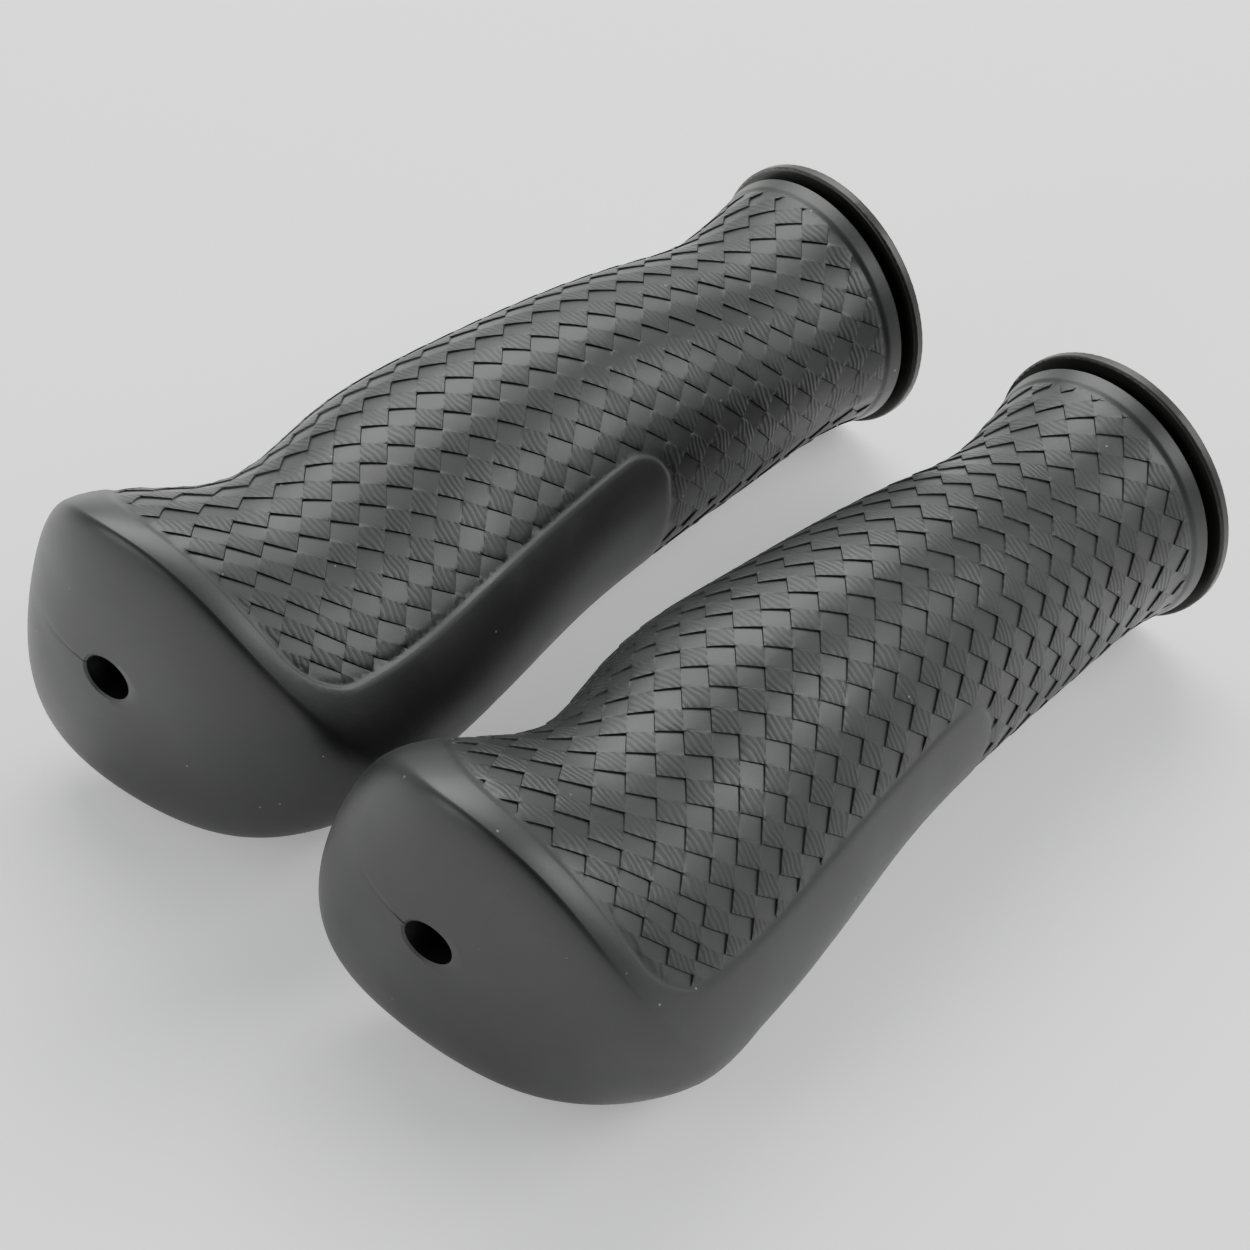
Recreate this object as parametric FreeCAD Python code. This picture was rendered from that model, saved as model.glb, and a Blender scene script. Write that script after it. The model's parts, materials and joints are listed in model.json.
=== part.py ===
import FreeCAD, Part
import math
import os
from FreeCAD import Placement, Rotation, Vector

# A pair of slip-on handlebar grips, lying side by side as they come off the bar.
# Both are the same part.  Each one is a rubber cover moulded over a hard core sleeve.
# Units are millimetres.  One grip is drawn in its own frame first: X runs along the bar from
# the closed outboard end (X = 0) to the inboard mouth, +heel is towards the flared side and
# +side is at right angles to both.  The grip mirrors about the plane of X and heel, which is
# also the parting plane of its mould.

os.makedirs("parts", exist_ok=True)

# the handlebar and what fits on it
bar_diameter = 22.2
bar_clearance = 0.2
grip_length = 124.0
end_wall = 6.0
vent_radius = 3.25

# core sleeve
sleeve_wall = 1.5
rib_count = 6
rib_height = 0.7
rib_width = 2.4
rib_end_gap = 12.0
flange_reach = 6.3
flange_thickness = 1.7
flange_edge = 0.45
groove_width = 1.3
groove_depth = 3.0
mouth_chamfer = 0.5

# cover: how thick the rubber is over the sleeve at each station, towards the heel, on the
# opposite spine, and to either side.  Outboard stations are measured from the closed end.
lip_x, lip_heel, lip_spine, lip_side = 13.0, 18.7, 8.1, 9.9
neck_x, neck_heel, neck_spine, neck_side = 26.0, 17.5, 1.8, 8.0
web_x, web_heel, web_spine, web_side = 42.0, 14.7, 3.8, 8.0
palm_x, palm_heel, palm_spine, palm_side = 60.0, 10.1, 4.7, 8.7
# inboard stations are measured back from the mouth
hold_back, hold_heel, hold_spine, hold_side = 32.0, 5.9, 2.9, 6.1
waist_back, waist_heel, waist_spine, waist_side = 19.0, 4.8, 2.0, 4.0
flare_back, flare_heel, flare_spine, flare_side = 10.0, 4.5, 3.6, 4.3
seat_step = 1.0
seat_edge = 0.7

# the section narrows towards the heel by these shares, and evens out at the mouth
lip_taper = -0.22
neck_taper = -0.14
palm_taper = -0.12

# outboard end: the lip leans back towards the heel and bows out at the flanks, and the end
# face is a shallow dome between the lip and the closed end
lip_lean = 0.23
neck_lean = 0.08
lip_bow = 10.0
dome_centre = 3.7
dome_flat = 0.24
dome_power = 2.0
dome_rings = (0.32, 0.42, 0.54, 0.66, 0.77, 0.86, 0.93, 0.98)

# how the pair lies on a table
grip_spacing = 53.2
splay = 1.25
front_roll = 26.0
rear_roll = 14.0

ring_points = 28
ring_pitch = 5.5
overshoot = 5.0

# sizes that follow
bore_radius = bar_diameter / 2 + bar_clearance / 2
sleeve_radius = bore_radius + sleeve_wall
flange_radius = sleeve_radius + flange_reach
flange_x = grip_length - flange_thickness
seat_x = flange_x - groove_width
groove_radius = flange_radius - groove_depth
seat_radius = flange_radius - seat_step
hold_x = grip_length - hold_back
waist_x = grip_length - waist_back
flare_x = grip_length - flare_back

stations = (lip_x, neck_x, web_x, palm_x, hold_x, waist_x, flare_x, seat_x)
heels = (lip_heel, neck_heel, web_heel, palm_heel, hold_heel, waist_heel, flare_heel)
spines = (lip_spine, neck_spine, web_spine, palm_spine, hold_spine, waist_spine, flare_spine)
sides = (lip_side, neck_side, web_side, palm_side, hold_side, waist_side, flare_side)


def smooth_curve(xs, ys):
    """A cubic spline through the stations, level at the first and free at the last."""
    count = len(xs)
    gaps = [xs[i + 1] - xs[i] for i in range(count - 1)]
    slopes = [(ys[i + 1] - ys[i]) / gaps[i] for i in range(count - 1)]
    lower = [0.0] + gaps[:-1] + [0.0]
    middle = [2 * gaps[0]] + [2 * (gaps[i - 1] + gaps[i]) for i in range(1, count - 1)] + [1.0]
    upper = [gaps[0]] + gaps[1:]
    right = [6 * slopes[0]] + [6 * (slopes[i] - slopes[i - 1]) for i in range(1, count - 1)] + [0.0]
    for i in range(1, count):
        share = lower[i] / middle[i - 1]
        middle[i] -= share * upper[i - 1]
        right[i] -= share * right[i - 1]
    bends = [0.0] * count
    for i in range(count - 2, -1, -1):
        bends[i] = (right[i] - upper[i] * bends[i + 1]) / middle[i]

    def value(x):
        i = max(j for j in range(count - 1) if j == 0 or xs[j] <= x)
        a = (xs[i + 1] - x) / gaps[i]
        b = (x - xs[i]) / gaps[i]
        bend = (a ** 3 - a) * bends[i] + (b ** 3 - b) * bends[i + 1]
        return a * ys[i] + b * ys[i + 1] + bend * gaps[i] ** 2 / 6

    return value


def blend(x, xs, ys):
    """Straight-line blend between stations, held at both ends."""
    if x <= xs[0]:
        return ys[0]
    for i in range(len(xs) - 1):
        if x <= xs[i + 1]:
            return ys[i] + (ys[i + 1] - ys[i]) * (x - xs[i]) / (xs[i + 1] - xs[i])
    return ys[-1]


def reach_curve(thicknesses):
    """How far the skin stands from the bar axis, which ends level with the seat."""
    reaches = [sleeve_radius + thickness for thickness in thicknesses]
    return smooth_curve(stations, reaches + [seat_radius])


heel_at = reach_curve(heels)
spine_at = reach_curve(spines)
side_at = reach_curve(sides)


def skin_ring(x, inset=0.0):
    """Points round the cover's skin at one station, as (x, heel, side)."""
    heel = heel_at(x) - inset
    spine = spine_at(x) - inset
    side = side_at(x) - inset
    taper = blend(x, (lip_x, neck_x, palm_x, seat_x), (lip_taper, neck_taper, palm_taper, 0.0))
    lean = blend(x, (lip_x, neck_x, web_x), (lip_lean, neck_lean, 0.0))
    bow = blend(x, (lip_x, palm_x), (lip_bow, 0.0))
    ring = []
    for i in range(ring_points):
        angle = 2 * math.pi * i / ring_points
        h = (heel - spine) / 2 + (heel + spine) / 2 * math.cos(angle)
        s = side * math.sin(angle) * (1 + taper * math.cos(angle))
        ring.append((x + lean * h - bow * (1 - math.cos(angle) ** 4), h, s))
    return ring


def dome_ring(share):
    """A ring of the end face, the lip's outline drawn in towards the dome's centre."""
    depth = 1 - math.sqrt(1 - ((share - dome_flat) / (1 - dome_flat)) ** dome_power)
    ring = []
    for x, h, s in skin_ring(lip_x):
        inner = dome_centre + (h - dome_centre) * share
        ring.append(((x - lip_lean * h) * depth + lip_lean * inner, inner, s * share))
    return ring


def cover_rings():
    """All rings of the cover, from the closed end to the seat beside the flange."""
    rings = [dome_ring(share) for share in (dome_flat,) + dome_rings]
    steps = max(8, round((seat_x - seat_edge - lip_x) / ring_pitch))
    for i in range(steps + 1):
        rings.append(skin_ring(lip_x + (seat_x - seat_edge - lip_x) * i / steps))
    rings.append(skin_ring(seat_x, seat_edge))
    return rings


def to_vector(point):
    # the heel points along -Y, so that X, Y and the side direction stay right-handed
    return Vector(point[0], -point[1], point[2])


def ring_wire(ring):
    curve = Part.BSplineCurve()
    curve.interpolate(Points=[to_vector(point) for point in ring], PeriodicFlag=True)
    return Part.Wire([curve.toShape()])


def cylinder(radius, start, end):
    return Part.makeCylinder(radius, end - start, Vector(start, 0, 0), Vector(1, 0, 0))


def make_core_sleeve():
    """Hard sleeve that slides on the bar, with its collar flange and anti-turn ribs."""
    body = cylinder(sleeve_radius, end_wall, flange_x)
    for i in range(rib_count):
        rib_length = seat_x - end_wall - 2 * rib_end_gap
        rib = Part.makeBox(rib_length, rib_width, sleeve_radius + rib_height)
        rib.translate(Vector(end_wall + rib_end_gap, -rib_width / 2, 0))
        rib.rotate(Vector(0, 0, 0), Vector(1, 0, 0), 360.0 * i / rib_count)
        body = body.fuse(rib)
    body = body.fuse(cylinder(groove_radius, seat_x, flange_x))
    flange = cylinder(flange_radius, flange_x, grip_length)
    rims = [edge for edge in flange.Edges if isinstance(edge.Curve, Part.Circle)]
    flange = flange.makeFillet(flange_edge, rims)
    body = body.fuse(flange).removeSplitter()
    outside = body
    bore = cylinder(bore_radius, end_wall - overshoot, grip_length + overshoot)
    mouth = Part.makeCone(
        bore_radius, bore_radius + mouth_chamfer, mouth_chamfer,
        Vector(grip_length - mouth_chamfer, 0, 0), Vector(1, 0, 0),
    )
    return body.cut(bore).cut(mouth), outside


def make_cover(core_outside):
    """Rubber cover: the lofted skin, hollowed by the core sleeve and pierced by the vent."""
    skin = Part.makeLoft([ring_wire(ring) for ring in cover_rings()], True, False)
    plug = cylinder(sleeve_radius, end_wall, grip_length)
    vent = cylinder(vent_radius, -overshoot, end_wall + overshoot)
    return skin.cut(plug.fuse(core_outside).removeSplitter()).cut(vent)


def attitude(roll, pitch, yaw):
    turn = Rotation(Vector(0, 0, 1), yaw)
    turn = turn.multiply(Rotation(Vector(0, 1, 0), -pitch))
    return turn.multiply(Rotation(Vector(1, 0, 0), roll))


def lowest(points, rotation):
    return min(rotation.multVec(point).z for point in points)


def resting_pitch(roll):
    """The pitch at which the lip end and the flange both touch the table."""
    skin = [to_vector(point) for ring in cover_rings() for point in ring]
    rim = []
    for i in range(360):
        angle = math.radians(i)
        rim.append(Vector(grip_length, flange_radius * math.cos(angle), flange_radius * math.sin(angle)))
    low, high = -12.0, 12.0
    for _ in range(40):
        pitch = (low + high) / 2
        rotation = attitude(roll, pitch, 0)
        if lowest(rim, rotation) > lowest(skin, rotation):
            high = pitch
        else:
            low = pitch
    return pitch


def lay_down(shapes, roll, yaw, across):
    """Turn a grip to its resting attitude and set its mouth at a place across the table."""
    pitch = resting_pitch(roll)
    turned = Placement(Vector(0, 0, 0), attitude(roll, pitch, yaw))
    shift = Placement(Vector(0, across, 0) - turned.multVec(Vector(grip_length, 0, 0)), Rotation())
    place = shift.multiply(turned)
    laid = []
    for shape in shapes:
        moved = shape.copy()
        moved.Placement = place.multiply(moved.Placement)
        laid.append(moved)
    return laid, place, pitch


def seat_on_table(shapes, place):
    floor = min(shape.optimalBoundingBox(False).ZMin for shape in shapes)
    lift = Vector(0, 0, -floor)
    for shape in shapes:
        shape.translate(lift)
    return Placement(lift, Rotation()).multiply(place)


core_sleeve, core_outside = make_core_sleeve()
cover = make_cover(core_outside)

pieces = {}
places = {}
grips = (
    ("front", front_roll, splay, -grip_spacing / 2),
    ("rear", rear_roll, -splay, grip_spacing / 2),
)
for name, roll, yaw, across in grips:
    laid, place, pitch = lay_down((cover, core_sleeve), roll, yaw, across)
    places[name] = seat_on_table(laid, place)
    pieces[name + "_grip_cover"] = laid[0]
    pieces[name + "_core_sleeve"] = laid[1]
    print(name, "pitch", round(pitch, 3))

# the origin is under the middle of the pair
box = FreeCAD.BoundBox()
for shape in pieces.values():
    box.add(shape.optimalBoundingBox(False))
middle = Vector(-(box.XMin + box.XMax) / 2, -(box.YMin + box.YMax) / 2, -box.ZMin)
for node, shape in pieces.items():
    shape.translate(middle)
    shape.exportStep("parts/" + node + ".step")
    print(node, shape.isValid(), len(shape.Solids), round(shape.Volume))

print("box", round(box.XLength, 2), round(box.YLength, 2), round(box.ZLength, 2))
print("middle", tuple(round(value, 4) for value in middle))
for name, place in places.items():
    for label, x in (("mouth", grip_length), ("bore floor", end_wall), ("vent", 0.0)):
        point = place.multVec(Vector(x, 0, 0)) + middle
        print(name, label, tuple(round(value, 4) for value in point))
    axis = place.Rotation.multVec(Vector(1, 0, 0))
    print(name, "axis", tuple(round(value, 6) for value in axis))
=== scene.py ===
# %% [markdown]
# A pair of slip-on handlebar grips
#
# Each grip is a soft rubber cover moulded over a hard plastic sleeve.  The sleeve slides on the
# bar and ends in a thin round flange.  The cover flares into a wide heel and closes over the end
# of the bar.  Its sides carry a woven relief, like plaited straw, and the heel is left smooth.
# The sleeves are good as they come from the frame and only need a finish.  The covers are built
# here again, because the weave has to be real relief and the frame has only a smooth skin.

# %% load the frame
import json
import math

import bmesh
import bpy
import numpy as np
from mathutils import Matrix, Quaternion, Vector, geometry


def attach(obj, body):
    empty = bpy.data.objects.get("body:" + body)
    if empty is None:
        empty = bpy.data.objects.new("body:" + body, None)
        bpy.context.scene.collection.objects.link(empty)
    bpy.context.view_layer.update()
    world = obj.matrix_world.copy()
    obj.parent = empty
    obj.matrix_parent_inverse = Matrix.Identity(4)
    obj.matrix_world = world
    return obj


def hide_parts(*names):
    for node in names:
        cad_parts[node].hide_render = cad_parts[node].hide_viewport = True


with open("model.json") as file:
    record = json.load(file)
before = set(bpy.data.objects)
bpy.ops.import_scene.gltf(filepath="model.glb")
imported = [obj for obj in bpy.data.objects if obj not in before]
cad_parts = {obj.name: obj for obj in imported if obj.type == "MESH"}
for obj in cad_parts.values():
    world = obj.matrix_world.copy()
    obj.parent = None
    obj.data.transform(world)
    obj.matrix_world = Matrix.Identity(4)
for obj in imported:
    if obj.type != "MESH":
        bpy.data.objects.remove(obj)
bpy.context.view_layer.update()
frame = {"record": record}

MM = 0.001

# %% [markdown]
# The shape of one grip
#
# A grip is drawn lying along X, from the closed outboard end at 0 to the inboard mouth.  H points
# to the heel and S to the side.  A modeller would loft a skin through a few sections.  Here each
# section is a formula, a rounded oval whose four reaches run along the grip as smooth curves, so
# that any point of the skin can be asked for.  The sizes are the design's own, in millimetres.
# Rubber is measured outwards from the sleeve.

# %% the grip's sizes
sleeve_radius = 12.7
vent_radius = 3.25
seat_radius = 18.0
seat_x = 121.0
seat_edge = 0.7
lip_x = 13.0
stations = (lip_x, 26.0, 42.0, 60.0, 92.0, 105.0, 114.0, seat_x)
heel_rubber = (18.7, 17.5, 14.7, 10.1, 5.9, 4.8, 4.5)
spine_rubber = (8.1, 1.8, 3.8, 4.7, 2.9, 2.0, 3.6)
side_rubber = (9.9, 8.0, 8.0, 8.7, 6.1, 4.0, 4.3)
taper_at = ((lip_x, 26.0, 60.0, seat_x), (-0.22, -0.14, -0.12, 0.0))
lean_at = ((lip_x, 26.0, 42.0), (0.23, 0.08, 0.0))
bow_at = ((lip_x, 60.0), (10.0, 0.0))
dome_centre = 3.7
dome_flat = 0.24
dome_power = 2.0


# %% smooth curves through the stations
def smooth_curve(xs, ys):
    """A cubic spline, level at the first station and free at the last, on whole arrays."""
    xs, ys = np.array(xs, float), np.array(ys, float)
    gap = np.diff(xs)
    slope = np.diff(ys) / gap
    count = len(xs)
    system, right = np.eye(count), np.zeros(count)
    system[0, :2] = 2 * gap[0], gap[0]
    right[0] = 6 * slope[0]
    for i in range(1, count - 1):
        system[i, i - 1:i + 2] = gap[i - 1], 2 * (gap[i - 1] + gap[i]), gap[i]
        right[i] = 6 * (slope[i] - slope[i - 1])
    bend = np.linalg.solve(system, right)

    def value(x):
        i = np.clip(np.searchsorted(xs, x, side="right") - 1, 0, count - 2)
        a = (xs[i + 1] - x) / gap[i]
        b = (x - xs[i]) / gap[i]
        curve = (a ** 3 - a) * bend[i] + (b ** 3 - b) * bend[i + 1]
        return a * ys[i] + b * ys[i + 1] + curve * gap[i] ** 2 / 6

    return value


def reach_curve(rubber):
    return smooth_curve(stations, [sleeve_radius + wall for wall in rubber] + [seat_radius])


heel_at = reach_curve(heel_rubber)
spine_at = reach_curve(spine_rubber)
side_at = reach_curve(side_rubber)
print("reach of the heel at the lip", round(float(heel_at(lip_x)), 2), "mm")


# %% [markdown]
# One skin for dome, body and edge
#
# The skin is addressed by two numbers.  The first is a station m: from -1 at the edge of the
# vent hole to 0 at the lip, and then millimetres along the grip.  The second is the angle round
# it, 0 at the heel and 180 degrees at the spine.  One half is built and then mirrored, just as
# the two halves of the mould mirror each other at the parting line.

# %% the skin
def section(x, angle):
    """Points (x, heel, side) of the skin at station x and angle."""
    heel, spine, side = heel_at(x), spine_at(x), side_at(x)
    h = (heel - spine) / 2 + (heel + spine) / 2 * np.cos(angle)
    s = side * np.sin(angle) * (1 + np.interp(x, *taper_at) * np.cos(angle))
    out = x + np.interp(x, *lean_at) * h - np.interp(x, *bow_at) * (1 - np.cos(angle) ** 4)
    return np.stack([out, h, s], -1)


around = np.linspace(0, math.pi, 721)
rim_line = section(np.full_like(around, lip_x), around)
rim_bearing = np.arctan2(rim_line[:, 2], rim_line[:, 1] - dome_centre)
rim_distance = np.hypot(rim_line[:, 2], rim_line[:, 1] - dome_centre)


def end_face(share, angle):
    """Points of the domed end face, at a share of the way from the vent's edge to the lip."""
    rim = section(np.full_like(angle, lip_x), angle)
    h = vent_radius * np.cos(angle) * (1 - share) + rim[..., 1] * share
    s = vent_radius * np.sin(angle) * (1 - share) + rim[..., 2] * share
    bearing = np.arctan2(s, h - dome_centre)
    reach = np.hypot(s, h - dome_centre) / np.interp(bearing, rim_bearing, rim_distance)
    facing = section(np.full_like(angle, lip_x), np.interp(bearing, rim_bearing, around))
    lean = lean_at[1][0]
    deep = np.clip((reach - dome_flat) / (1 - dome_flat), 0, 1) ** dome_power
    depth = 1 - np.sqrt(np.clip(1 - deep, 0, 1))
    x = (facing[..., 0] - lean * facing[..., 1]) * depth + lean * h
    return np.stack([x, h, s], -1)


def skin(m, angle):
    m, angle = np.broadcast_arrays(np.asarray(m, float), np.asarray(angle, float))
    body = section(lip_x + np.clip(m, 0, None), angle)
    cap = end_face(1 + np.clip(m, -1, 0), angle)
    return np.where((m < 0)[..., None], cap, body)


def skin_and_normal(m, angle):
    """The skin and its outward unit normal, from small steps both ways."""
    step_m, step_a, tiny = 0.004, 0.002, 1e-12
    along = skin(m + step_m, angle) - skin(m - step_m, angle)
    around = skin(m, angle + step_a) - skin(m, angle - step_a)
    normal = np.cross(around, along)
    normal /= np.maximum(np.linalg.norm(normal, axis=-1, keepdims=True), tiny)
    return skin(m, angle), normal


body_length = seat_x - lip_x
print("middle of the flank", skin(body_length / 2, math.pi / 2).round(2))


# %% [markdown]
# The weave
#
# The relief is a plaited pattern: columns of square tiles, laid at 45 degrees to the bar.  Pale
# tiles rise out of the skin and pass into dark tiles, and a dark tile ends in two free edges that
# stand clear of the next pale tiles, so that the free edges join into long zigzag steps.  The
# left and the right grip step the opposite way.  A bump map can't give the steps a shadow or a
# broken outline, so every tile is modelled with its own small grid of points.

# %% the weave's sizes
tile_along = 2.9
tile_across = 3.7
pale_rise = 0.17
dark_rise = 0.09
edge_roll = 0.06
tile_gap = 0.016
roll_width = 0.14
join_share = 1.5
weave_depth = join_share * pale_rise + join_share * dark_rise
tile_middle = (0.38, 0.62)
tile_steps = (tile_gap, roll_width, *tile_middle, 1 - roll_width, 1 - tile_gap)


def weave(u, v, hand):
    """Height of the relief over the deepest point, and 1 on dark tiles, at skin place (u, v)."""
    down = -(u + v) / math.sqrt(2) / tile_along
    over = (u - v) / math.sqrt(2) / tile_across
    row, column = np.floor(down), np.floor(over)
    t, s = down - row, over - column
    if hand < 0:
        s = 1 - s
    dark = (row + column) % 2
    free = np.clip(np.maximum(s, t) - (1 - roll_width), 0, None) / roll_width
    pale_height = pale_rise * (s + t)
    dark_height = join_share * pale_rise + dark_rise * (s + t - 0.5) - edge_roll * free ** 2
    return np.where(dark > 0, dark_height, pale_height), dark


print("the weave is", round(weave_depth, 2), "mm deep at most")

# %% measuring along the skin
table_rows, table_columns = 241, 181
reach_v, step_v = 46.0, 0.5
m_grid = np.linspace(0, body_length, table_rows)
angle_grid = np.linspace(0, math.pi, table_columns)
skin_grid = skin(m_grid[:, None], angle_grid[None])
arc = np.cumsum(np.linalg.norm(np.diff(skin_grid, axis=1), axis=2), axis=1)
arc = np.concatenate([np.zeros((len(m_grid), 1)), arc], axis=1)
flank = table_columns // 2
arc -= arc[:, flank:flank + 1]
flank_length = np.cumsum(np.linalg.norm(np.diff(skin_grid[:, flank], axis=0), axis=1))
u_grid = np.concatenate([[0.0], flank_length])
v_grid = np.arange(-reach_v, reach_v + step_v / 5, step_v)
angle_of = np.array([np.interp(v_grid, row, angle_grid, left=-1, right=9) for row in arc])


def to_u(m):
    return np.interp(m, m_grid, u_grid)


def bilinear(table, row, column):
    r = np.clip(row.astype(int), 0, table.shape[0] - 2)
    c = np.clip(column.astype(int), 0, table.shape[1] - 2)
    fr, fc = row - r, column - c
    low = table[r, c] * (1 - fc) + table[r, c + 1] * fc
    high = table[r + 1, c] * (1 - fc) + table[r + 1, c + 1] * fc
    return low * (1 - fr) + high * fr


def to_v(m, angle):
    """Distance round the skin from the middle of the flank, towards the spine."""
    row, column = m / body_length * (table_rows - 1), angle / math.pi * (table_columns - 1)
    return bilinear(arc, row, column)


def to_address(u, v):
    """The station and angle of a skin place; the angle is outside 0 to pi beyond this half."""
    m = np.interp(u, u_grid, m_grid)
    angle = bilinear(angle_of, m / body_length * (table_rows - 1), (v - v_grid[0]) / step_v)
    return m, angle


print("half round the middle", round(float(np.ptp(arc[table_rows // 2])), 1), "mm")

# %% [markdown]
# Where the weave stops
#
# The weave is a panel with a rounded outline.  It starts just behind the lip, leaves out a smooth
# tongue along the heel as far as the palm, wraps all the way round beyond the tongue, and fades
# just short of the flange.  The outline is a signed distance, positive inside the panel.

# %% the panel's outline
panel_start_flank = 3.0
panel_start_spine = 7.0
panel_end_gap = 3.0
tongue_length = 63.0
tongue_angle = math.radians(47)
tongue_round = 7.0
corner_round = 5.0
mean_radius = 20.0


def inside_panel(m, angle):
    to_spine = np.clip((angle - math.pi / 2) / (math.pi / 2), 0, 1)
    start = panel_start_flank + (panel_start_spine - panel_start_flank) * to_spine ** 2
    past_start = m - start
    along = m - tongue_length + tongue_round
    round_it = (angle - tongue_angle) * mean_radius + tongue_round
    past_tongue = np.hypot(np.clip(along, 0, None), np.clip(round_it, 0, None))
    past_tongue = past_tongue + np.clip(np.maximum(along, round_it), None, 0) - tongue_round
    before_end = body_length - panel_end_gap - m
    short = np.hypot(np.clip(corner_round - past_start, 0, None),
                     np.clip(corner_round - past_tongue, 0, None))
    corner = np.where(short > 0, corner_round - short, np.minimum(past_start, past_tongue))
    return np.minimum(corner, before_end)


def smooth_step(value, low, high):
    share = np.clip((value - low) / (high - low), 0, 1)
    return share * share * (3 - 2 * share)


spine_margin = float(inside_panel(body_length / 2, math.pi))
print("half way along, the spine is", round(spine_margin, 1), "mm inside the panel")

# %% [markdown]
# Meshing one half
#
# Tiles lie across the grip at 45 degrees and the outline is curved, so no plain grid fits both.
# The points are chosen first, close together in every tile and wider apart on smooth skin, and a
# Delaunay triangulation joins them.  Each tile keeps clear of its neighbours by a hair, and the
# sliver between them becomes the step.

# %% choosing the points
half_turns = 84
end_rings = 22
smooth_pitch = 1.3
outline_pitch = 0.3
outline_band = 0.9
end_face_radius = 22.0
turn_width = 62.0
vent_edge_ring = -0.98
vent_edge_depth = 0.25
nick_length = 0.42
nick_depth = 0.4
border_depth = 0.22
border_width = 0.45
weave_fade = 0.7
tile_margin = 0.12
smooth_margin = 0.1
seam_margin = 0.012
outline_seam_margin = 0.02
outline_start = 0.5
outline_end_gap = 1.0
most_tiles = 60


def tile_points():
    """Every tile's grid of points, as (u, v) on the skin."""
    local = np.array(tile_steps)
    rows = np.arange(-most_tiles, most_tiles)
    spots = (rows[:, None] + local[None]).ravel()
    down, over = spots * tile_along, spots * tile_across
    down, over = np.meshgrid(down, over)
    u = (over - down) / math.sqrt(2)
    v = -(over + down) / math.sqrt(2)
    keep = (u > 0) & (u < u_grid[-1]) & (v > v_grid[0]) & (v < v_grid[-1])
    return u[keep], v[keep]


def half_points():
    """All points of one half as (m, angle)."""
    turn = np.linspace(0, math.pi, half_turns + 1)
    end = np.sin(np.linspace(0, math.pi / 2, end_rings + 1)[:-1]) - 1
    end = np.insert(end, 1, vent_edge_ring)
    body = np.linspace(0, body_length - seat_edge, round(body_length / smooth_pitch))
    m, angle = [part.ravel() for part in np.meshgrid(np.concatenate([end, body]), turn)]
    border = (angle == 0) | (angle == math.pi) | (m == -1) | (m == body[-1])
    keep = border | (inside_panel(m, angle) < smooth_margin)
    smooth = np.stack([m[keep], angle[keep]], 1)
    u, v = tile_points()
    tile_m, tile_angle = to_address(u, v)
    keep = (tile_angle > seam_margin) & (tile_angle < math.pi - seam_margin)
    keep &= inside_panel(tile_m, tile_angle) > tile_margin
    tiles = np.stack([tile_m[keep], tile_angle[keep]], 1)
    fine_m = np.arange(outline_start, body_length - outline_end_gap, outline_pitch)
    margin = outline_seam_margin
    fine_angle = np.arange(margin, math.pi - margin, outline_pitch / mean_radius)
    m, angle = [part.ravel() for part in np.meshgrid(fine_m, fine_angle)]
    near = inside_panel(m, angle)
    keep = (near > -outline_band) & (near < tile_margin)
    return np.concatenate([smooth, tiles, np.stack([m[keep], angle[keep]], 1)])


def flat_place(points):
    """Where the points go on the flat sheet that is triangulated, in millimetres."""
    along = np.where(points[:, 0] < 0, points[:, 0] * end_face_radius, points[:, 0])
    return np.stack([along, points[:, 1] / math.pi * turn_width], 1)


def triangulate(points):
    flat = [Vector(place) for place in flat_place(points)]
    result = geometry.delaunay_2d_cdt(flat, [], [], 0, 1e-7)
    origin = np.array([group[0] for group in result[3]])
    return points[origin], np.array(result[2])


print("each tile has", len(tile_steps) ** 2, "points")

# %% heights of the relief
def relief_at(m, angle, hand):
    """Height over the skin, which is 0 or less, and a 0 to 1 mark for dark tiles."""
    edge = inside_panel(m, angle)
    height, dark = weave(to_u(m), to_v(m, angle), hand)
    fade = smooth_step(edge, 0, weave_fade)
    border = border_depth * np.exp(-(edge / border_width) ** 2)
    relief = (height - weave_depth) * fade - border
    relief = np.where(m < 0, 0, relief)
    relief = np.where(m <= -1, -vent_edge_depth, relief)
    nick = (angle >= math.pi - 1e-6) & (m < -1 + nick_length) & (m > -1)
    relief = np.where(nick, -nick_depth, relief)
    return relief, dark * fade


middle = np.array([body_length / 2]), np.array([math.pi / 2])
print("relief at the middle of the flank", relief_at(*middle, 1)[0].round(2), "mm")

# %% [markdown]
# Closing the cover
#
# Past the skin the cover goes on round its inboard edge, down to the sleeve, back along it and
# out through the vent hole, so that the mesh is one closed body of rubber.  These rings carry no
# detail, so they are plain loops that share the skin's own first and last points.

# %% inner rings
end_wall = 6.0
edge_steps = 4
floor_steps = 5


def inner_rings():
    """Rings as (x, radius), from the skin's inboard edge back to the vent hole."""
    rings = []
    for i in range(1, edge_steps + 1):
        turn = math.pi / 2 * i / edge_steps
        x = seat_x - seat_edge + seat_edge * math.sin(turn)
        rings.append((x, seat_radius - seat_edge * (1 - math.cos(turn))))
    rings += [(seat_x, sleeve_radius), (end_wall, sleeve_radius)]
    for i in range(1, floor_steps + 1):
        rings.append((end_wall, sleeve_radius + (vent_radius - sleeve_radius) * i / floor_steps))
    return rings


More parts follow.
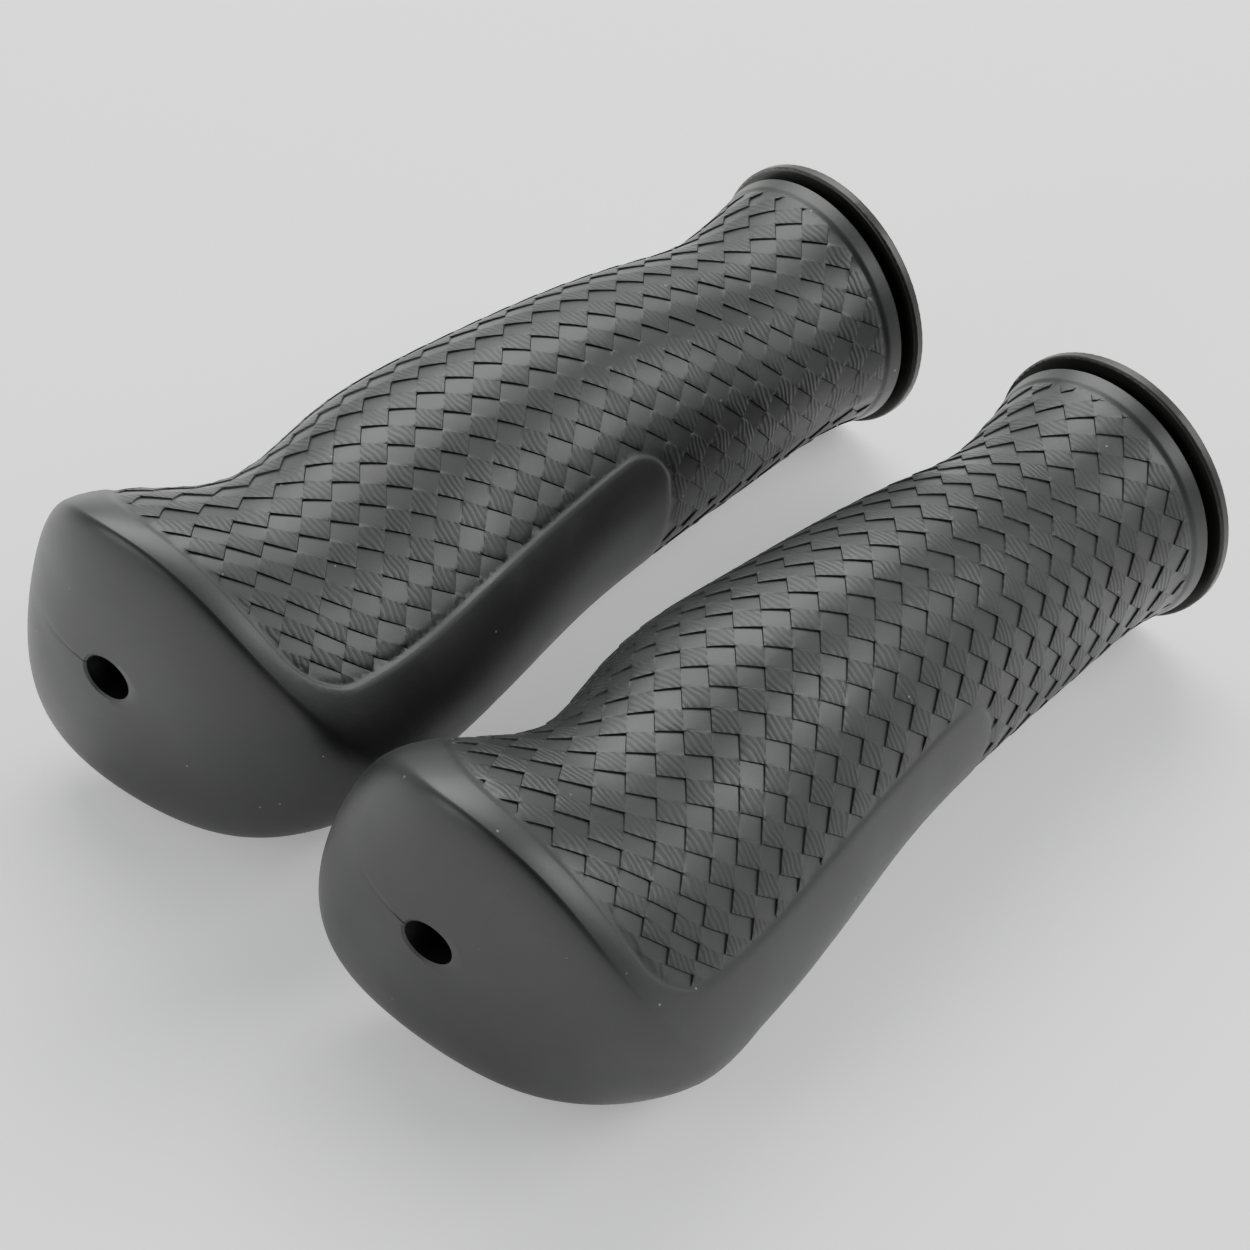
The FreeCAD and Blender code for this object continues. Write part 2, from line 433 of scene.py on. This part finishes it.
def half_cover(hand):
    """Points and triangles of the half with side above 0, and the marks on each point."""
    address, faces = triangulate(half_points())
    m, angle = address.T
    place, normal = skin_and_normal(m, angle)
    relief, dark = relief_at(m, angle, hand)
    place = place + normal * relief[:, None]
    place[(angle == 0) | (angle == math.pi), 2] = 0
    last = np.flatnonzero(m == m.max())
    first = np.flatnonzero(m == m.min())
    last, first = last[np.argsort(angle[last])], first[np.argsort(angle[first])]
    turn = np.linspace(0, math.pi, half_turns + 1)
    places, loops = [place], [last]
    for x, radius in inner_rings():
        start = sum(len(part) for part in places)
        ring = np.stack([np.full_like(turn, x), radius * np.cos(turn), radius * np.sin(turn)], 1)
        ring[[0, -1], 2] = 0
        places.append(ring)
        loops.append(start + np.arange(len(turn)))
    loops.append(first)
    quads = [[a[i], a[i + 1], b[i + 1], b[i]] for a, b in zip(loops, loops[1:])
             for i in range(half_turns)]
    count = sum(len(part) for part in places) - len(place)
    marks = np.stack([np.concatenate([part, np.zeros(count)]) for part in (relief, dark)], 1)
    return np.concatenate(places), [list(face) for face in faces] + quads, marks


# %% [markdown]
# Putting a grip in its place
#
# The frame's record holds the line of each bore, which gives the grip's place, its slope and its
# heading.  Only the roll about the bar is left, and it is the same number as in the design.

# %% making a cover
bore_length = 117.5
crease_angle = math.radians(32)
weld_distance = 0.002
roll_of = {"front": math.radians(26.0), "rear": math.radians(14.0)}
hand_of = {"front": -1, "rear": 1}
mounts = {mount["name"]: mount for mount in frame["record"]["mounts"]}


def resting_place(name):
    mount = mounts[name + "_bar_bore"]
    axis = Vector(mount["axis"]).normalized()
    heading = math.atan2(axis.y, axis.x)
    slope = math.asin(axis.z)
    start = Vector(mount["pos_m"]) - axis * (end_wall + bore_length / 2) * MM
    turn = Matrix.Rotation(heading, 4, "Z") @ Matrix.Rotation(-slope, 4, "Y")
    return Matrix.Translation(start) @ turn @ Matrix.Rotation(roll_of[name], 4, "X")


def make_cover(name):
    places, faces, marks = half_cover(hand_of[name])
    count = len(places)
    local = np.stack([places[:, 0], -places[:, 1], places[:, 2]], 1) * MM
    both = np.concatenate([local, local * (1, 1, -1)])
    place = np.array(resting_place(name))
    both = both @ place[:3, :3].T + place[:3, 3]
    mirrored = [[count + i for i in reversed(face)] for face in faces]
    mesh = bpy.data.meshes.new(name + "_woven_cover")
    mesh.from_pydata(both.tolist(), [], faces + mirrored)
    for label, column in (("relief", 0), ("shaded_tile", 1)):
        layer = mesh.attributes.new(label, "FLOAT", "POINT")
        layer.data.foreach_set("value", np.tile(marks[:, column], 2).astype(np.float32))
    shape = bmesh.new()
    shape.from_mesh(mesh)
    bmesh.ops.remove_doubles(shape, verts=shape.verts, dist=weld_distance * MM)
    bmesh.ops.recalc_face_normals(shape, faces=shape.faces)
    shape.to_mesh(mesh)
    open_edges = sum(1 for edge in shape.edges if len(edge.link_faces) != 2)
    shape.free()
    mesh.shade_smooth()
    mesh.set_sharp_from_angle(angle=crease_angle)
    cover = bpy.data.objects.new(name + "_woven_cover", mesh)
    bpy.context.scene.collection.objects.link(cover)
    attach(cover, name + "_grip")
    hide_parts(name + "_grip_cover")
    print(cover.name, len(mesh.vertices), "points", len(mesh.polygons), "faces", open_edges, "open")
    return cover


print(len(inner_rings()), "inner rings close each cover")
covers = [make_cover(name) for name in ("front", "rear")]

# %% [markdown]
# Materials
#
# Both finishes are built from nodes.  One function adds a node with its settings and links, and
# one turns the hex colours to the linear values that the shader works in.

# %% helpers for materials
def linear(hex_colour):
    """An sRGB hex colour as linear red, green, blue and a full alpha."""
    parts = [int(hex_colour[i:i + 2], 16) / 255 for i in (1, 3, 5)]
    parts = [p / 12.92 if p <= 0.04045 else ((p + 0.055) / 1.055) ** 2.4 for p in parts]
    return (*parts, 1.0)


def add_node(tree, kind, values=None, links=None, **settings):
    """A node with its settings, socket values and incoming links."""
    node = tree.nodes.new(kind)
    for key, value in settings.items():
        setattr(node, key, value)
    for key, value in (values or {}).items():
        node.inputs[key].default_value = value
    for key, source in (links or {}).items():
        tree.links.new(source, node.inputs[key])
    return node


def new_material(name):
    material = bpy.data.materials.new(name)
    material.use_nodes = True
    material.node_tree.nodes.clear()
    return material, material.node_tree


def finish_material(tree, shader):
    add_node(tree, "ShaderNodeOutputMaterial", links={"Surface": shader.outputs["BSDF"]})


def ramp(tree, source, low, high, colours):
    """A colour ramp between two places of its input."""
    node = add_node(tree, "ShaderNodeValToRGB", links={"Fac": source})
    node.color_ramp.elements[0].position = low
    node.color_ramp.elements[1].position = high
    for element, colour in zip(node.color_ramp.elements, colours):
        element.color = linear(colour)
    return node.outputs["Color"]


def noise(tree, place, size, detail):
    """Smooth noise whose blobs are about this many millimetres across."""
    return add_node(tree, "ShaderNodeTexNoise", {"Scale": 1 / (size * MM), "Detail": detail},
                    {"Vector": place}).outputs["Fac"]


def span(tree, source, between, give):
    """A value carried from one range to another and held at both ends."""
    values = {"From Min": between[0], "From Max": between[1], "To Min": give[0], "To Max": give[1]}
    return add_node(tree, "ShaderNodeMapRange", values, {"Value": source}).outputs["Result"]


def multiply(tree, first, second):
    values, links = ({}, {1: second}) if hasattr(second, "node") else ({1: second}, {})
    node = add_node(tree, "ShaderNodeMath", values, {0: first, **links}, operation="MULTIPLY")
    return node.outputs[0]


def mix_in(tree, share, colour, hex_colour):
    """The colour with a share of another laid over it."""
    factor, colour_a, colour_b, result = 0, 6, 7, 2
    node = add_node(tree, "ShaderNodeMix", {colour_b: linear(hex_colour)},
                    {factor: share, colour_a: colour}, data_type="RGBA")
    return node.outputs[result]


print("mid grey is", round(linear("#808080")[0], 3), "in linear light")

# %% [markdown]
# Moulded rubber
#
# The covers are thermoplastic rubber from a sand-blasted mould.  It is a charcoal that isn't quite
# neutral, half matt, with a soft sheen where the light grazes it.  The colour is cloudy and the
# roughness with it, the blasted mould leaves a fine grain, the dark tiles carry faint flow lines,
# and a little dust and a few pale rubbed marks lie on it.  Two marks are painted shade: the dark
# tiles are painted darker than the pale ones, and the colour is painted darker towards the
# bottoms of the steps.
# Rubber has an IOR near 1.52.

# %% rubber
grain_size = 0.22
cloud_size = 14.0
dust_spacing = 5.0
dust_radius = 0.12
rub_size = 7.0
flow_pitch = 0.8
wave_period = 0.314
grain_height = 0.012
flow_height = 0.03
rubber_ior = 1.52
rubber_rough = (0.38, 0.5)
cloud_range = (0.3, 0.7)
rubbed_range, rubbed_share = (0.6, 0.78), 0.35
dust_share, dust_fade = 0.55, 1.6
crease_shade_range, crease_shade_share = (-0.5, -0.22), 0.75


def rubber_material():
    material, tree = new_material("moulded_rubber_charcoal")
    place = add_node(tree, "ShaderNodeTexCoord").outputs["Object"]
    tiles = add_node(tree, "ShaderNodeAttribute", attribute_name="shaded_tile").outputs["Fac"]
    relief = add_node(tree, "ShaderNodeAttribute", attribute_name="relief").outputs["Fac"]
    clouds = noise(tree, place, cloud_size, 4.0)
    grain = noise(tree, place, grain_size, 2.0)
    rubbed = span(tree, noise(tree, place, rub_size, 9.0), rubbed_range, (0.0, rubbed_share))
    cells = add_node(tree, "ShaderNodeTexVoronoi", {"Scale": 1 / (dust_spacing * MM)},
                     {"Vector": place}).outputs["Distance"]
    edge = dust_radius / dust_spacing
    dust = span(tree, cells, (edge, dust_fade * edge), (dust_share, 0.0))
    flow = add_node(tree, "ShaderNodeTexWave",
                    {"Scale": wave_period / (flow_pitch * MM), "Distortion": 7.0, "Detail": 1.0,
                     "Detail Scale": 0.6}, {"Vector": place}).outputs["Fac"]
    flow = multiply(tree, flow, tiles)
    # Painted shade: where the relief is deepest, at the bottoms of the steps, the colour is
    # darkened towards #090909.
    crease_shade = span(tree, relief, crease_shade_range, (crease_shade_share, 0.0))
    colour = ramp(tree, clouds, 0.3, 0.75, ("#151615", "#1d1e1c"))
    # Painted shade: the dark tiles are the same rubber as the pale ones, painted darker to stand in
    # for the shade their tilt gets.
    colour = mix_in(tree, multiply(tree, tiles, 0.7), colour, "#111211")
    colour = mix_in(tree, rubbed, colour, "#333432")
    colour = mix_in(tree, crease_shade, colour, "#090909")
    colour = mix_in(tree, dust, colour, "#8c8d89")
    rough = span(tree, clouds, cloud_range, rubber_rough)
    rough = add_node(tree, "ShaderNodeMath", links={0: rough, 1: multiply(tree, flow, 0.1)},
                     operation="ADD").outputs[0]
    bump = add_node(tree, "ShaderNodeBump", {"Strength": 1.0, "Distance": grain_height * MM},
                    {"Height": grain}).outputs["Normal"]
    bump = add_node(tree, "ShaderNodeBump", {"Strength": 1.0, "Distance": flow_height * MM},
                    {"Height": flow, "Normal": bump}).outputs["Normal"]
    shader = add_node(tree, "ShaderNodeBsdfPrincipled", {"IOR": rubber_ior},
                      {"Base Color": colour, "Roughness": rough, "Normal": bump})
    finish_material(tree, shader)
    return material


rubber = rubber_material()
for cover in covers:
    cover.data.materials.append(rubber)
print("covers wear", rubber.name)

# %% [markdown]
# Moulded polypropylene
#
# The sleeves are injection-moulded polypropylene, harder and a touch more olive than the rubber.
# The mould was only stoned, so the flange has a satin face with faint, broad unevenness from
# shrinking.  Polypropylene has an IOR of 1.49.

# %% polypropylene
shrink_size = 9.0
satin_size = 0.15
satin_height = 0.004
plastic_ior = 1.49
plastic_rough = (0.34, 0.46)


def sleeve_material():
    material, tree = new_material("moulded_polypropylene_olive_black")
    place = add_node(tree, "ShaderNodeTexCoord").outputs["Object"]
    clouds = noise(tree, place, shrink_size, 3.0)
    colour = ramp(tree, clouds, *cloud_range, ("#171812", "#1e1f18"))
    rough = span(tree, clouds, cloud_range, plastic_rough)
    bump = add_node(tree, "ShaderNodeBump", {"Strength": 1.0, "Distance": satin_height * MM},
                    {"Height": noise(tree, place, satin_size, 1.0)}).outputs["Normal"]
    shader = add_node(tree, "ShaderNodeBsdfPrincipled", {"IOR": plastic_ior},
                      {"Base Color": colour, "Roughness": rough, "Normal": bump})
    finish_material(tree, shader)
    return material


plastic = sleeve_material()
for name in ("front_core_sleeve", "rear_core_sleeve"):
    sleeve = bpy.data.objects[name].data
    sleeve.materials.clear()
    sleeve.materials.append(plastic)
print("sleeves wear", plastic.name)

# %% [markdown]
# The setting
#
# A white light table, a room that is bright on all sides but one, and three softboxes: a large one
# behind and above, a fill on the outboard side and a key on the inboard side.  The dark side of the
# room is where the viewer stands, so that faces turned to the viewer stay deep and the ones turned
# away pick up the light.

# %% floor
floor_half = 3.0
floor_mesh = bpy.data.meshes.new("studio_floor")
shape = bmesh.new()
bmesh.ops.create_grid(shape, x_segments=8, y_segments=8, size=floor_half)
shape.to_mesh(floor_mesh)
shape.free()
floor = bpy.data.objects.new("studio_floor", floor_mesh)
bpy.context.scene.collection.objects.link(floor)
floor_material, tree = new_material("opal_acrylic")
glow = {"Base Color": linear("#f6f6f5"), "Roughness": 0.85,
        "Emission Color": linear("#ffffff"), "Emission Strength": 0.3}
finish_material(tree, add_node(tree, "ShaderNodeBsdfPrincipled", glow))
floor_mesh.materials.append(floor_material)
print("light table", floor.dimensions[:])

# %% where the viewer stands
camera_distance = 0.520
camera_height = math.radians(43.97)
camera_heading = math.radians(45.5)
camera_roll = math.radians(2.37)
front_bore = mounts["front_bar_bore"]["pos_m"]
aim = Vector((front_bore[0] + 0.00655, front_bore[1] + 0.03898, 0.0))
back = Vector((-math.cos(camera_height) * math.sin(camera_heading),
               -math.cos(camera_height) * math.cos(camera_heading), math.sin(camera_height)))
print("the viewer looks at", aim[:])

# %% world and lights
world = bpy.data.worlds.new("studio")
bpy.context.scene.world = world
world.use_nodes = True
tree = world.node_tree
tree.nodes.clear()
direction = add_node(tree, "ShaderNodeTexCoord").outputs["Generated"]
towards_viewer = add_node(tree, "ShaderNodeVectorMath", {1: tuple(back)}, {0: direction},
                          operation="DOT_PRODUCT").outputs["Value"]
room = ramp(tree, towards_viewer, 0.4, 0.88, ("#f6f9fb", "#1c1d1f"))
background = add_node(tree, "ShaderNodeBackground", {"Strength": 0.85}, {"Color": room})
add_node(tree, "ShaderNodeOutputWorld", links={"Surface": background.outputs["Background"]})


def softbox(name, place, aim, size, power):
    lamp = bpy.data.lights.new(name, "AREA")
    lamp.shape = "RECTANGLE"
    lamp.size, lamp.size_y = size
    lamp.energy = power
    box = bpy.data.objects.new(name, lamp)
    box.location = place
    box.rotation_mode = "QUATERNION"
    box.rotation_quaternion = (Vector(aim) - Vector(place)).to_track_quat("-Z", "Y")
    bpy.context.scene.collection.objects.link(box)


softbox("behind_and_above", (0.45, 0.55, 0.75), (0, 0, 0), (0.9, 0.7), 11.0)
softbox("outboard_fill", (-0.9, 0.3, 0.45), (0, 0, 0.02), (0.6, 0.5), 3.0)
softbox("inboard_key", (0.75, -0.65, 0.8), (0, 0, 0.02), (0.7, 0.5), 8.0)

# %% camera
camera_data = bpy.data.cameras.new("camera")
camera_data.sensor_width = 36.0
camera_data.lens = 112.46
camera = bpy.data.objects.new("camera", camera_data)
camera.location = aim + back * camera_distance
camera.rotation_mode = "QUATERNION"
level = (-back).to_track_quat("-Z", "Y")
camera.rotation_quaternion = level @ Quaternion((0, 0, 1), camera_roll)
bpy.context.scene.collection.objects.link(camera)
bpy.context.scene.camera = camera
print("camera at", camera.location[:])
